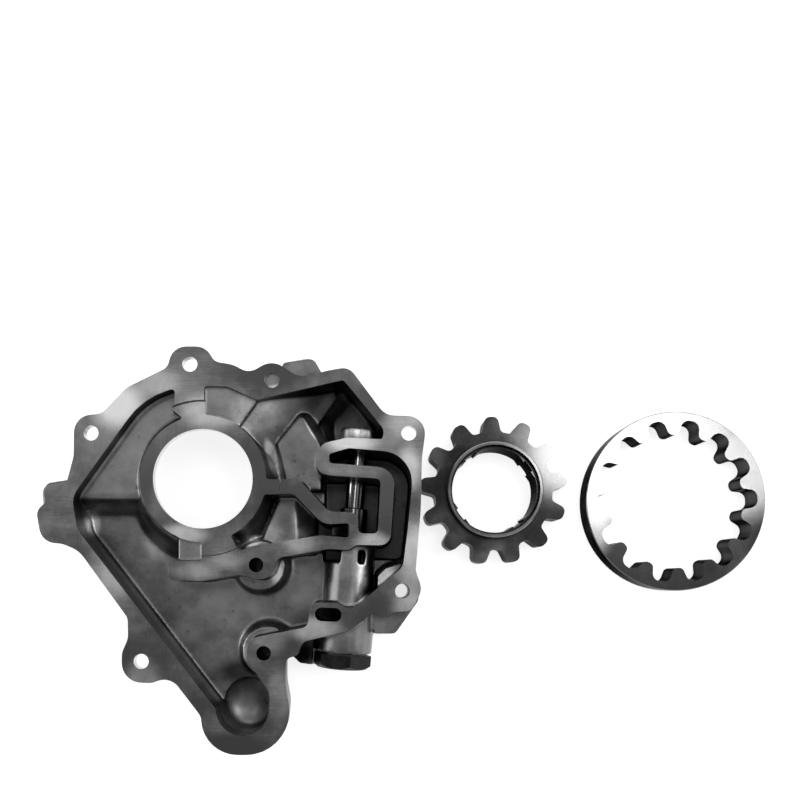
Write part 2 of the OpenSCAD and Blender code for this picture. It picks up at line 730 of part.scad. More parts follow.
module relief_spring() {
    sides = 8;
    per_turn = 16;
    start = land_start + land_len - cup_depth;
    free = spring_end - start - wire_d - 2 * coil_gap;
    pitch = free / spring_turns;
    rings = spring_turns * per_turn;
    points = [for (i = [0:rings]) each wire_ring(i / per_turn, pitch, sides)];
    walls = [for (i = [0:rings - 1]) for (k = [0:sides - 1])
        let (n = (k + 1) % sides, p = i * sides, q = p + sides)
        each [[p + k, q + k, q + n], [p + k, q + n, p + n]]];
    caps = [[for (k = [0:sides - 1]) k], [for (k = [sides - 1:-1:0]) rings * sides + k]];
    color(dark_steel) along_valve(start + wire_d / 2 + coil_gap)
        polyhedron(points, concat(walls, caps), convexity = 10);
}

module relief_plug() {
    head = boss_end + washer_t;
    color(dark_steel) {
        along_valve(spring_end) cylinder(r = plug_thread_r, h = plug_shank + eps);
        along_valve(head) rotate([0, 0, plug_turn])
            cylinder(d = plug_hex / cos(30), h = plug_hex_h, $fn = 6);
    }
}

module plug_washer() {
    color(dark_steel) along_valve(boss_end) difference() {
        cylinder(r = plug_hex / 2 - washer_inset, h = washer_t);
        translate([0, 0, -over])
            cylinder(r = plug_thread_r + 2 * thread_play, h = washer_t + 2 * over);
    }
}

housing();
inner_rotor();
outer_rotor();
relief_plunger();
relief_spring();
relief_plug();
plug_washer();
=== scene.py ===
"""Looks of an engine oil pump laid out for inspection: the cast housing with its galleries
facing up, its relief valve, and the two toothed rotors beside it."""

import json
import logging
import math
from dataclasses import dataclass, field
from enum import Enum
from typing import Iterable, Sequence

import bmesh
import bpy
import numpy as np
from mathutils import Matrix, Vector

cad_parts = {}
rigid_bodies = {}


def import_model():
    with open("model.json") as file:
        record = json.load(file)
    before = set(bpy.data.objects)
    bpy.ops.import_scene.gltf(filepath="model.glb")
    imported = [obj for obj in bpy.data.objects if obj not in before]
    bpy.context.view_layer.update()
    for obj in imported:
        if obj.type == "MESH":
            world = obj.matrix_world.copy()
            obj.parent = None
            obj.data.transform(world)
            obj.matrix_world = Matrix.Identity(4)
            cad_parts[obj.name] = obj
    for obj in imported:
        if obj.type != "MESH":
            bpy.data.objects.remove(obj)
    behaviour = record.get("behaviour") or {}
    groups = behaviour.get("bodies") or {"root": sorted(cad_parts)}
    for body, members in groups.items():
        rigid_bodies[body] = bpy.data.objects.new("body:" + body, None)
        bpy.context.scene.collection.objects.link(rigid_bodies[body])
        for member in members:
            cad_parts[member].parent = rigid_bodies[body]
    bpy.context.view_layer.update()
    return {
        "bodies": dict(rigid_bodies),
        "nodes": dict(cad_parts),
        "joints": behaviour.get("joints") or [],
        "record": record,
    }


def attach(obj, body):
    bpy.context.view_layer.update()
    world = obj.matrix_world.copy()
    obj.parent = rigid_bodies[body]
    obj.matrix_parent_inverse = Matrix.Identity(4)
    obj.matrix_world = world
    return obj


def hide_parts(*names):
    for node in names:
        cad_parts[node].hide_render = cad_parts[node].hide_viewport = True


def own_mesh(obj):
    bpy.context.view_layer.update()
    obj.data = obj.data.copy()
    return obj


LOG = logging.getLogger("oil_pump")
MM = 0.001

# Most values of a noise lie between these
MID_NOISE = (0.3, 0.7)

# Blue of a bare metal's grey, as a share of its red and green
COOL = 1.01

# Share of its reach within which a patch of painted light has its full level
LIGHT_PATCH_CORE = 0.25

Point = tuple[float, float]
Place = tuple[float, float, float]
Socket = bpy.types.NodeSocket


class Slot(Enum):
    """Material slots of the record, by name."""

    CASTING = "cast_aluminium"
    SPRING = "spring_steel"
    PLUG = "dark_plated_steel"


class Grain(Enum):
    """Direction in which a surface was brushed or ground, as noise scales per metre."""

    UP_AND_DOWN = (4200.0, 160.0, 400.0)
    SIDE_TO_SIDE = (160.0, 4200.0, 400.0)
    NONE = (1500.0, 1500.0, 1500.0)


@dataclass(frozen=True)
class LightPatch:
    """Painted light: a place where a face is painted brighter than the rest, as a highlight, or
    duller, as shade.

    Its place and reach are in millimetres and its turn in degrees.
    """

    x: float
    y: float
    half_x: float
    half_y: float
    level: float
    turn: float = 0.0


class ShaderGraph:
    """Builds the nodes of one material around its Principled shader."""

    def __init__(self, name: str) -> None:
        """Starts the material.

        Args:
            name: The material's name.
        """
        self.material = bpy.data.materials.new(name)
        self.material.use_nodes = True
        self.tree = self.material.node_tree
        self.shader = self.tree.nodes["Principled BSDF"]
        coordinates = self.add("ShaderNodeTexCoord")
        self.place = coordinates.outputs["Object"]
        self.facing = coordinates.outputs["Normal"]

    def add(self, kind: str, **settings: object) -> bpy.types.Node:
        """Adds a node.

        Args:
            kind: Blender's name of the node type.
            settings: Properties set on the node.

        Returns:
            The node.
        """
        node = self.tree.nodes.new(kind)
        for key, value in settings.items():
            setattr(node, key, value)
        return node

    def put(self, socket: Socket, value: object) -> None:
        """Links a socket to another one, or sets it to a plain value.

        Args:
            socket: The input to feed.
            value: A socket, number or colour.
        """
        if isinstance(value, bpy.types.NodeSocket):
            self.tree.links.new(value, socket)
        else:
            socket.default_value = value

    def stretched(self, scales: Sequence[float]) -> Socket:
        """The object's coordinates, multiplied along each axis by a scale."""
        return self.vectors("MULTIPLY", self.place, tuple(scales))

    def noise(self, place: Socket, scale: float, detail: float = 3.0,
              roughness: float = 0.5) -> Socket:
        """Fractal noise around one half.

        Args:
            place: Coordinates.
            scale: Features per unit of the coordinates.
            detail: Octaves.
            roughness: Weight of the finer octaves.

        Returns:
            The noise value.
        """
        node = self.add("ShaderNodeTexNoise")
        self.put(node.inputs["Vector"], place)
        self.put(node.inputs["Scale"], scale)
        self.put(node.inputs["Detail"], detail)
        self.put(node.inputs["Roughness"], roughness)
        return node.outputs["Fac"]

    def spots(self, scale: float) -> Socket:
        """Distance to the nearest of many scattered points.

        Args:
            scale: Points per metre.

        Returns:
            The distance value.
        """
        node = self.add("ShaderNodeTexVoronoi")
        self.put(node.inputs["Vector"], self.place)
        self.put(node.inputs["Scale"], scale)
        return node.outputs["Distance"]

    def span(self, value: Socket, low: float, high: float, to_low: float,
             to_high: float) -> Socket:
        """Maps a range smoothly to another one.

        Args:
            value: The value.
            low: Start of its range.
            high: End of its range.
            to_low: Result at the start.
            to_high: Result at the end.

        Returns:
            The mapped value.
        """
        node = self.add("ShaderNodeMapRange", interpolation_type="SMOOTHSTEP")
        for key, number in (("Value", value), ("From Min", low), ("From Max", high),
                            ("To Min", to_low), ("To Max", to_high)):
            self.put(node.inputs[key], number)
        return node.outputs["Result"]

    def step(self, kind: str, operation: str, first: object, second: object) -> Socket:
        """One arithmetic step.

        Args:
            kind: Blender's name of the node type.
            operation: Blender's name of the operation.
            first: Socket or plain value.
            second: Socket or plain value.

        Returns:
            The result.
        """
        node = self.add(kind, operation=operation)
        self.put(node.inputs[0], first)
        self.put(node.inputs[1], second)
        return node.outputs[0]

    def maths(self, operation: str, first: object, second: object) -> Socket:
        """One arithmetic step on two numbers."""
        return self.step("ShaderNodeMath", operation, first, second)

    def vectors(self, operation: str, first: object, second: object) -> Socket:
        """One arithmetic step on two vectors or colours."""
        return self.step("ShaderNodeVectorMath", operation, first, second)

    def shades(self, value: Socket, dark: float, light: float) -> Socket:
        """A metal's grey between two linear levels: dark where the value is 0, light at 1."""
        return self.mixed(value, (dark, dark, dark * COOL, 1.0), (light, light, light * COOL, 1.0))

    def mixed(self, share: Socket, first: object, second: object) -> Socket:
        """Two colours mixed.

        Args:
            share: 0 for the first, 1 for the second.
            first: Colour socket or plain colour.
            second: Colour socket or plain colour.

        Returns:
            The colour.
        """
        factor, colour_a, colour_b, result = 0, 6, 7, 2
        node = self.add("ShaderNodeMix", data_type="RGBA")
        for key, value in ((factor, share), (colour_a, first), (colour_b, second)):
            self.put(node.inputs[key], value)
        return node.outputs[result]

    def dimmed(self, colour: Socket, factor: Socket) -> Socket:
        """A colour multiplied by a value.

        Args:
            colour: The colour.
            factor: The value.

        Returns:
            The darker colour.
        """
        node = self.add("ShaderNodeVectorMath", operation="SCALE")
        self.put(node.inputs[0], colour)
        self.put(node.inputs["Scale"], factor)
        return node.outputs[0]

    def painted_light(self, painted_light: LightPatch) -> Socket:
        """The painted highlight or painted shade that a patch adds, fading out towards its edge.

        Args:
            painted_light: The patch.

        Returns:
            The value.
        """
        away = self.vectors("SUBTRACT", self.place, (painted_light.x * MM, painted_light.y * MM, 0.0))
        turned = self.add("ShaderNodeVectorRotate", rotation_type="Z_AXIS")
        self.put(turned.inputs["Vector"], away)
        self.put(turned.inputs["Angle"], math.radians(-painted_light.turn))
        share = self.vectors("MULTIPLY", turned.outputs[0],
                             (1 / (painted_light.half_x * MM), 1 / (painted_light.half_y * MM), 0.0))
        far = self.add("ShaderNodeVectorMath", operation="LENGTH")
        self.put(far.inputs[0], share)
        return self.span(far.outputs["Value"], LIGHT_PATCH_CORE, 1.0, painted_light.level, 0.0)

    def rounded_edges(self, radius: float) -> None:
        """Lets sharp edges catch the light as if they were broken.

        Args:
            radius: Radius in metres.
        """
        node = self.add("ShaderNodeBevel", samples=4)
        self.put(node.inputs["Radius"], radius)
        self.put(self.shader.inputs["Normal"], node.outputs["Normal"])

    def vertical(self, vector: Socket) -> Socket:
        """The part of a vector that points up.

        Args:
            vector: The vector.

        Returns:
            The value.
        """
        parts = self.add("ShaderNodeSeparateXYZ")
        self.put(parts.inputs[0], vector)
        return parts.outputs["Z"]

    def height(self, low: float, high: float, to_low: float, to_high: float) -> Socket:
        """A value that changes with the height over the table, between two heights."""
        return self.span(self.vertical(self.place), low, high, to_low, to_high)

    def upward(self, low: float, high: float) -> Socket:
        """How far a face looks up: 0 where the normal's rise is low, 1 where it is high."""
        return self.span(self.vertical(self.facing), low, high, 0.0, 1.0)

    def upward_lack(self, low: float, high: float) -> Socket:
        """The reverse of upward: 1 on walls, 0 on faces that lie flat."""
        return self.maths("SUBTRACT", 1.0, self.upward(low, high))

    def with_painted_light(self, level: object, light_patches: Iterable[LightPatch]) -> Socket:
        """A value with the painted light of all patches added.

        Args:
            level: The value away from every patch.
            light_patches: The patches.

        Returns:
            The sum.
        """
        for painted_light in light_patches:
            level = self.maths("ADD", level, self.painted_light(painted_light))
        return self.maths("MAXIMUM", level, 0.0)

    def openness(self, reach: float) -> Socket:
        """How open a place is: 1 on a free face, towards 0 deep in a corner.

        Args:
            reach: Distance in metres that counts.

        Returns:
            The value.
        """
        node = self.add("ShaderNodeAmbientOcclusion", samples=8)
        self.put(node.inputs["Distance"], reach)
        return node.outputs["AO"]

    def corner_shaded(self, colour: Socket, reach: float, corner: float,
               clean: float = 0.8) -> Socket:
        """A colour made darker in corners: painted shade where little light reaches.

        Args:
            colour: The colour.
            reach: Distance in metres that counts.
            corner: Share of the colour that is left in a deep corner.
            clean: Openness from which all of the colour is left.

        Returns:
            The colour with its dark corners.
        """
        deep = 0.1
        return self.dimmed(colour, self.span(self.openness(reach), deep, clean, corner, 1.0))

    def uneven(self, value: Socket, band: Point, level: float, swing: Point) -> Socket:
        """A level that changes with a value: by swing, from one end of the band to the other."""
        return self.span(value, *band, level + swing[0], level + swing[1])

    def bump(self, height: Socket, strength: float, depth: float) -> None:
        """Feeds a bump into the shader, over what is there already.

        Args:
            height: The height, 0 to 1.
            strength: Blender's bump strength.
            depth: Depth in metres.
        """
        node = self.add("ShaderNodeBump")
        self.put(node.inputs["Height"], height)
        self.put(node.inputs["Strength"], strength)
        self.put(node.inputs["Distance"], depth)
        normal = self.shader.inputs["Normal"]
        if normal.is_linked:
            self.put(node.inputs["Normal"], normal.links[0].from_socket)
        self.put(normal, node.outputs["Normal"])

    def grained(self, scale: float, strength: float, depth: float) -> None:
        """Roughens the surface with a fine grain."""
        self.bump(self.noise(self.place, scale, roughness=0.6), strength, depth)

    def finish(self, colour: object, roughness: object, metallic: float,
               specular: float = 0.5) -> bpy.types.Material:
        """Sets the shader's main values.

        Args:
            colour: Base colour, a socket or plain.
            roughness: Roughness, a socket or plain.
            metallic: How metallic the surface is.
            specular: Specular level of the part that isn't metal.

        Returns:
            The finished material.
        """
        self.put(self.shader.inputs["Base Color"], colour)
        self.put(self.shader.inputs["Roughness"], roughness)
        self.put(self.shader.inputs["Metallic"], metallic)
        self.put(self.shader.inputs["Specular IOR Level"], specular)
        return self.material


@dataclass(frozen=True)
class CastFinish:
    """Sand-blasted die-cast aluminium: soft grey with stains, painted shade in corners, in deep
    pockets and on walls, and patches of painted light.
    """

    dark: float = 0.16
    light: float = 0.31
    brightest: float = 0.85
    roughness: float = 0.33
    edge_break: float = 0.35 * MM
    cloud_scale: float = 60.0
    speck_scale: float = 210.0
    speck_band: Point = (0.62, 0.74)
    speck_tone: float = 0.6
    skin_scale: float = 260.0
    skin_bump: float = 0.35
    skin_depth: float = 0.22 * MM
    grain_scale: float = 1500.0
    grain_bump: float = 0.4
    grain_depth: float = 0.05 * MM
    # Painted shade in corners and hollows, taken from how open each place is
    shade_reach: float = 16 * MM
    shade_end: float = 0.7
    corner_shade: float = 0.15
    # Painted shade on deep floors: darker from open_z down to deep_z
    deep_z: float = 5 * MM
    open_z: float = 12 * MM
    deep_shade_level: float = 0.5
    # Painted shade on walls, stronger near their brow than at their foot
    foot_z: float = 17 * MM
    brow_z: float = 22 * MM
    foot_shade: float = 0.1
    wall_shade: float = 0.6
    wall_rise: Point = (0.2, 0.9)
    rough_band: Point = (0.25, 0.75)
    rough_swing: Point = (-0.07, 0.1)
    light_patches: tuple[LightPatch, ...] = ()

    def material(self) -> bpy.types.Material:
        """Builds the finish.

        Returns:
            The finish as a Blender material.
        """
        graph = ShaderGraph("cast aluminium")
        graph.rounded_edges(self.edge_break)
        clouds = graph.noise(graph.place, self.cloud_scale, detail=6.0, roughness=0.62)
        tone = graph.shades(graph.span(clouds, *MID_NOISE, 0.0, 1.0), self.dark, self.light)
        specks = graph.noise(graph.place, self.speck_scale)
        tone = graph.dimmed(tone, graph.span(specks, *self.speck_band, 1.0, self.speck_tone))
        # Painted shade in corners and hollows
        tone = graph.corner_shaded(tone, self.shade_reach, self.corner_shade, self.shade_end)
        # Painted shade on the deep floors
        tone = graph.dimmed(tone, graph.height(self.deep_z, self.open_z, self.deep_shade_level, 1.0))
        # Painted shade on walls, stronger near their brow
        wall_shading = graph.maths("MULTIPLY", graph.upward_lack(*self.wall_rise),
                           graph.height(self.foot_z, self.brow_z, self.foot_shade,
                                        self.wall_shade))
        tone = graph.dimmed(tone, graph.maths("SUBTRACT", 1.0, wall_shading))
        # Painted highlights and painted shade from the patches
        tone = graph.dimmed(tone, graph.with_painted_light(1.0, self.light_patches))
        tone = graph.vectors("MINIMUM", tone, (self.brightest,) * 3)
        grain = graph.noise(graph.place, self.grain_scale, detail=4.0, roughness=0.65)
        skin = graph.noise(graph.place, self.skin_scale)
        graph.bump(skin, self.skin_bump, self.skin_depth)
        graph.bump(grain, self.grain_bump, self.grain_depth)
        rough = graph.uneven(clouds, self.rough_band, self.roughness, self.rough_swing)
        return graph.finish(tone, rough, metallic=1.0)


@dataclass(frozen=True)
class MilledFinish:
    """Milled and brushed metal face with fine scratches, random stains, and patches of painted
    reflection and painted shade.
    """

    name: str
    dark: float
    light: float
    roughness: float
    grain: Grain
    edge_break: float = 0.3 * MM
    scratch_bump: float = 0.3
    scratch_depth: float = 0.01 * MM
    brushing: float = 0.07
    brush_band: Point = (0.35, 0.65)
    turn_scale: float = 26.0
    turn_band: Point = (0.5, 0.62)
    stain_scale: float = 42.0
    faint_stain: float = 0.03
    strong_stain: float = 0.27
    rough_swing: Point = (-0.05, 0.08)
    light_patches: tuple[LightPatch, ...] = ()

    def material(self) -> bpy.types.Material:
        """Builds the finish.

        Returns:
            The finish as a Blender material.
        """
        graph = ShaderGraph(self.name)
        graph.rounded_edges(self.edge_break)
        hairs = graph.noise(graph.stretched(self.grain.value), 1.0, detail=6.0, roughness=0.7)
        cross = graph.noise(graph.stretched(Grain.SIDE_TO_SIDE.value), 0.7, detail=4.0,
                            roughness=0.7)
        turned = graph.noise(graph.place, self.turn_scale, detail=2.0)
        lines = graph.add("ShaderNodeMix")
        graph.put(lines.inputs["Factor"], graph.span(turned, *self.turn_band, 0.0, 1.0))
        graph.put(lines.inputs["A"], hairs)
        graph.put(lines.inputs["B"], cross)
        brushed = lines.outputs["Result"]
        stains = graph.noise(graph.place, self.stain_scale, detail=5.0, roughness=0.6)
        level = graph.maths("ADD", graph.span(brushed, *self.brush_band, 0.0, self.brushing),
                            graph.span(stains, *MID_NOISE, self.faint_stain,
                                       self.strong_stain))
        # Painted reflections and painted shade from the patches
        level = graph.with_painted_light(level, self.light_patches)
        tone = graph.shades(graph.span(level, 0.0, 1.0, 0.0, 1.0), self.dark, self.light)
        graph.bump(brushed, self.scratch_bump, self.scratch_depth)
        rough = graph.uneven(stains, MID_NOISE, self.roughness, self.rough_swing)
        return graph.finish(tone, rough, metallic=1.0)


@dataclass(frozen=True)
class SinteredFinish:
    """Sintered steel: fine pores and slight clouds on ground faces, painted shade on the flanks,
    and painted highlights on edges, the collar top and patches.
    """

    name: str
    dark: float = 0.03
    light: float = 0.72
    # Painted shade: the flanks are given a dark tone
    flank_shade: float = 0.1
    flank_shade_swing: Point = (0.7, 1.3)
    flank_reflection_tint: float = 0.2
    # Painted highlight on the bevelled edges
    edge: float = 0.3
    edge_rise: Point = (0.25, 0.45)
    edge_end: Point = (0.8, 0.95)
    flat_rise: Point = (0.55, 0.95)
    # Painted highlight on the collar's top face
    collar_z: float = 15 * MM
    collar_highlight: float = 0.22
    roughness: float = 0.22
    rough_swing: Point = (-0.05, 0.07)
    cloud_scale: float = 70.0
    cloud_gain: float = 0.1
    pore_scale: float = 1400.0
    pore_band: Point = (0.05, 0.22)
    pore_tone: float = 0.6
    grain_scale: float = 2400.0
    grain_bump: float = 0.3
    grain_depth: float = 0.03 * MM
    # Painted shade in corners and hollows, taken from how open each place is
    shade_reach: float = 6 * MM
    corner_shade: float = 0.35
    light_patches: tuple[LightPatch, ...] = ()

    def material(self) -> bpy.types.Material:
        """Builds the finish.

        Returns:
            The finish as a Blender material.
        """
        graph = ShaderGraph(self.name)
        clouds = graph.noise(graph.place, self.cloud_scale, detail=4.0, roughness=0.6)
        # Clouds, plus a painted highlight on the collar's top face
        level = graph.maths("ADD", graph.span(clouds, *MID_NOISE, 0.0, self.cloud_gain),
                            graph.height(self.collar_z, self.collar_z + 1 * MM, 0.0,
                                         self.collar_highlight))
        # Painted reflections and painted shade from the patches
        level = graph.with_painted_light(level, self.light_patches)
        pores = graph.span(graph.spots(self.pore_scale), *self.pore_band, self.pore_tone, 1.0)
        ground = graph.shades(graph.span(level, 0.0, 1.0, 0.0, 1.0), self.dark, self.light)
        # Painted shade on the flanks
        shaded_flanks = graph.shades(clouds, *(self.flank_shade * swing for swing in self.flank_shade_swing))
        # Painted highlight on the bevelled edges
        edge_highlight_mask = graph.maths("MULTIPLY", graph.upward(*self.edge_rise),
                             graph.upward_lack(*self.edge_end))
        flat = graph.upward(*self.flat_rise)
        tone = graph.mixed(flat, shaded_flanks, ground)
        tone = graph.mixed(edge_highlight_mask, tone, (self.edge, self.edge, self.edge, 1.0))
        tone = graph.dimmed(tone, pores)
        # Painted shade in the reflections of the flanks
        graph.put(graph.shader.inputs["Specular Tint"],
                  graph.shades(flat, self.flank_reflection_tint, 1.0))
        # Painted shade in corners and hollows
        tone = graph.corner_shaded(tone, self.shade_reach, self.corner_shade)
        graph.grained(self.grain_scale, self.grain_bump, self.grain_depth)
        rough = graph.uneven(clouds, MID_NOISE, self.roughness, self.rough_swing)
        return graph.finish(tone, rough, metallic=1.0)


@dataclass(frozen=True)
class PolishedFinish:
    """Ground and polished steel with fine bright lines of painted reflection, set by the way its
    surface faces.
    """

    name: str
    dark: float = 0.05
    light: float = 0.8
    roughness: float = 0.16
    # Painted reflection: how many bright lines run across the facing
    lines: float = 10.8
    reflection_band: Point = (0.5, 1.0)
    # Painted shade in corners and hollows, taken from how open each place is
    shade_reach: float = 7 * MM
    corner_shade: float = 0.2
    grain_scale: float = 1800.0
    grain_bump: float = 0.2
    grain_depth: float = 0.01 * MM

    def material(self) -> bpy.types.Material:
        """Builds the finish.

        Returns:
            The finish as a Blender material.
        """
        graph = ShaderGraph(self.name)
        # Painted reflection: bright lines set by the way the surface faces
        across = graph.add("ShaderNodeSeparateXYZ")
        graph.put(across.inputs[0], graph.facing)
        painted_reflection = graph.maths("COSINE", graph.maths("MULTIPLY", across.outputs["X"], self.lines),
                           0.0)
        tone = graph.shades(graph.span(painted_reflection, *self.reflection_band, 0.0, 1.0), self.dark, self.light)
        # Painted shade in corners and hollows
        tone = graph.corner_shaded(tone, self.shade_reach, self.corner_shade)
        graph.grained(self.grain_scale, self.grain_bump, self.grain_depth)
        return graph.finish(tone, self.roughness, metallic=1.0)


@dataclass(frozen=True)
class PlatedFinish:
    """Thin dark plating or oxide on steel, worn a little."""

    name: str
    dark: float
    light: float
    roughness: float
    metallic: float = 0.7
    rough_swing: Point = (-0.06, 0.1)
    wear_scale: float = 240.0
    wear_band: Point = (0.35, 0.75)
    grain_scale: float = 1800.0
    grain_bump: float = 0.3
    grain_depth: float = 0.03 * MM

    def material(self) -> bpy.types.Material:
        """Builds the finish.

        Returns:
            The finish as a Blender material.
        """
        graph = ShaderGraph(self.name)
        wear = graph.noise(graph.place, self.wear_scale, detail=5.0, roughness=0.65)
        tone = graph.shades(graph.span(wear, *self.wear_band, 0.0, 1.0), self.dark, self.light)
        graph.grained(self.grain_scale, self.grain_bump, self.grain_depth)
        rough = graph.uneven(wear, MID_NOISE, self.roughness, self.rough_swing)
        return graph.finish(tone, rough, self.metallic)


def new_object(name: str, data: bpy.types.ID) -> bpy.types.Object:
    """Puts a mesh, curve, lamp or camera into the scene.

    Args:
        name: The object's name.
        data: The mesh, curve, lamp or camera.

    Returns:
        The object.
    """
    made = bpy.data.objects.new(name, data)
    bpy.context.scene.collection.objects.link(made)
    return made


def coat(piece: bpy.types.Object, *materials: bpy.types.Material) -> None:
    """Gives a piece its materials, in place of those that it has.

    Args:
        piece: The piece.
        materials: The materials, in the order of its slots.
    """
    piece.data.materials.clear()
    for material in materials:
        piece.data.materials.append(material)


def flattened(piece: bpy.types.Object) -> bpy.types.Mesh:
    """A new mesh from a mesh or curve object, with its modifiers applied."""
    graph = bpy.context.evaluated_depsgraph_get()
    return bpy.data.meshes.new_from_object(piece.evaluated_get(graph))


def discard(pieces: Iterable[bpy.types.Object]) -> None:
    """Deletes helper objects."""
    for piece in list(pieces):
        bpy.data.objects.remove(piece, do_unlink=True)


def mesh_from(form: bmesh.types.BMesh, name: str) -> bpy.types.Mesh:
    """Turns a finished form into a mesh and frees the form.

    Args:
        form: The form.
        name: The mesh's name.

    Returns:
        The mesh.
    """
    mesh = bpy.data.meshes.new(name)
    form.to_mesh(mesh)
    form.free()
    return mesh


def ring(form: bmesh.types.BMesh, radius: float, height: float, sides: int,
         frame: Matrix) -> list[bmesh.types.BMVert]:
    """Adds corners evenly round an axis.

    Args:
        form: The form that gains them.
        radius: Their distance from the axis.
        height: Their height on it.
        sides: How many there are.
        frame: Places the ring; its Z is the axis.

    Returns:
        The corners.
    """
    return [form.verts.new(frame @ Vector((radius * math.cos(2 * math.pi * k / sides),
                                           radius * math.sin(2 * math.pi * k / sides), height)))
            for k in range(sides)]


def wall(form: bmesh.types.BMesh, low: Sequence[bmesh.types.BMVert],
         high: Sequence[bmesh.types.BMVert]) -> None:
    """Joins two rings of corners, or a ring and a tip, by faces.

    Args:
        form: The form that gains the faces.
        low: Corners of the lower ring.
        high: Corners of the upper ring.
    """
    sides = max(len(low), len(high))
    for k in range(sides):
        n = (k + 1) % sides
        corners = (low[k % len(low)], low[n % len(low)], high[n % len(high)], high[k % len(high)])
        form.faces.new(tuple(dict.fromkeys(corners)))


def rectangle(left: float, low: float, right: float, high: float) -> tuple[Point, ...]:
    """Corners of a rectangle, anticlockwise."""
    return ((left, low), (right, low), (right, high), (left, high))


def turned_mesh(name: str, profile: Sequence[Point], frame: Matrix,
                sides: int = 128) -> bpy.types.Mesh:
    """A closed turned solid.

    Args:
        name: The mesh's name.
        profile: (radius, height) points from the axis round to the axis, heights rising.
        frame: Places the solid; its Z is the axis.
        sides: Facets round the axis.

    Returns:
        The mesh.
    """
    form = bmesh.new()
    rings = [ring(form, radius, height, sides if radius > 0 else 1, frame)
             for radius, height in profile]
    for low, high in zip(rings, rings[1:]):
        wall(form, low, high)
    bmesh.ops.recalc_face_normals(form, faces=form.faces)
    return mesh_from(form, name)


def prism_mesh(name: str, outline: Sequence[Point], low: float, high: float) -> bpy.types.Mesh:
    """A closed upright prism.

    Args:
        name: The mesh's name.
        outline: Corners, anticlockwise.
        low: Height of its foot.
        high: Height of its top.

    Returns:
        The mesh.
    """
    form = bmesh.new()
    foot = [form.verts.new((x, y, low)) for x, y in outline]
    top = [form.verts.new((x, y, high)) for x, y in outline]
    form.faces.new(tuple(reversed(foot)))
    form.faces.new(tuple(top))
    wall(form, foot, top)
    return mesh_from(form, name)


def joined_mesh(name: str, parts: Iterable[bpy.types.Mesh]) -> bpy.types.Mesh:
    """Several meshes as one.

    Args:
        name: The new mesh's name.
        parts: The meshes.

    Returns:
        The joined mesh.
    """
    form = bmesh.new()
    for part in parts:
        form.from_mesh(part)
    return mesh_from(form, name)


def cut(piece: bpy.types.Object, cutter: bpy.types.Object,
        operation: str = "DIFFERENCE") -> None:
    """Cuts one solid by another.

    Args:
        piece: The solid to change.
        cutter: The other solid.
        operation: Boolean operation.
    """
    modifier = piece.modifiers.new("cut", "BOOLEAN")
    modifier.object = cutter
    modifier.operation = operation
    modifier.solver = "MANIFOLD"


def smooth_by_angle(mesh: bpy.types.Mesh, degrees: float) -> None:
    """Shades a mesh smooth, with sharp edges over an angle."""
    mesh.shade_smooth()
    mesh.set_sharp_from_angle(angle=math.radians(degrees))


def eased_edges(piece: bpy.types.Object, width: float, degrees: float = 35.0) -> None:
    """Breaks the sharp edges of a hard piece.

    Args:
        piece: The object.
        width: Width of the bevel in metres.
        degrees: Edges over this angle are broken.
    """
    bevel = piece.modifiers.new("edge break", "BEVEL")
    bevel.width = width
    bevel.segments = 2
    bevel.limit_method = "ANGLE"
    bevel.angle_limit = math.radians(degrees)
    bevel.use_clamp_overlap = True
    bevel.harden_normals = True


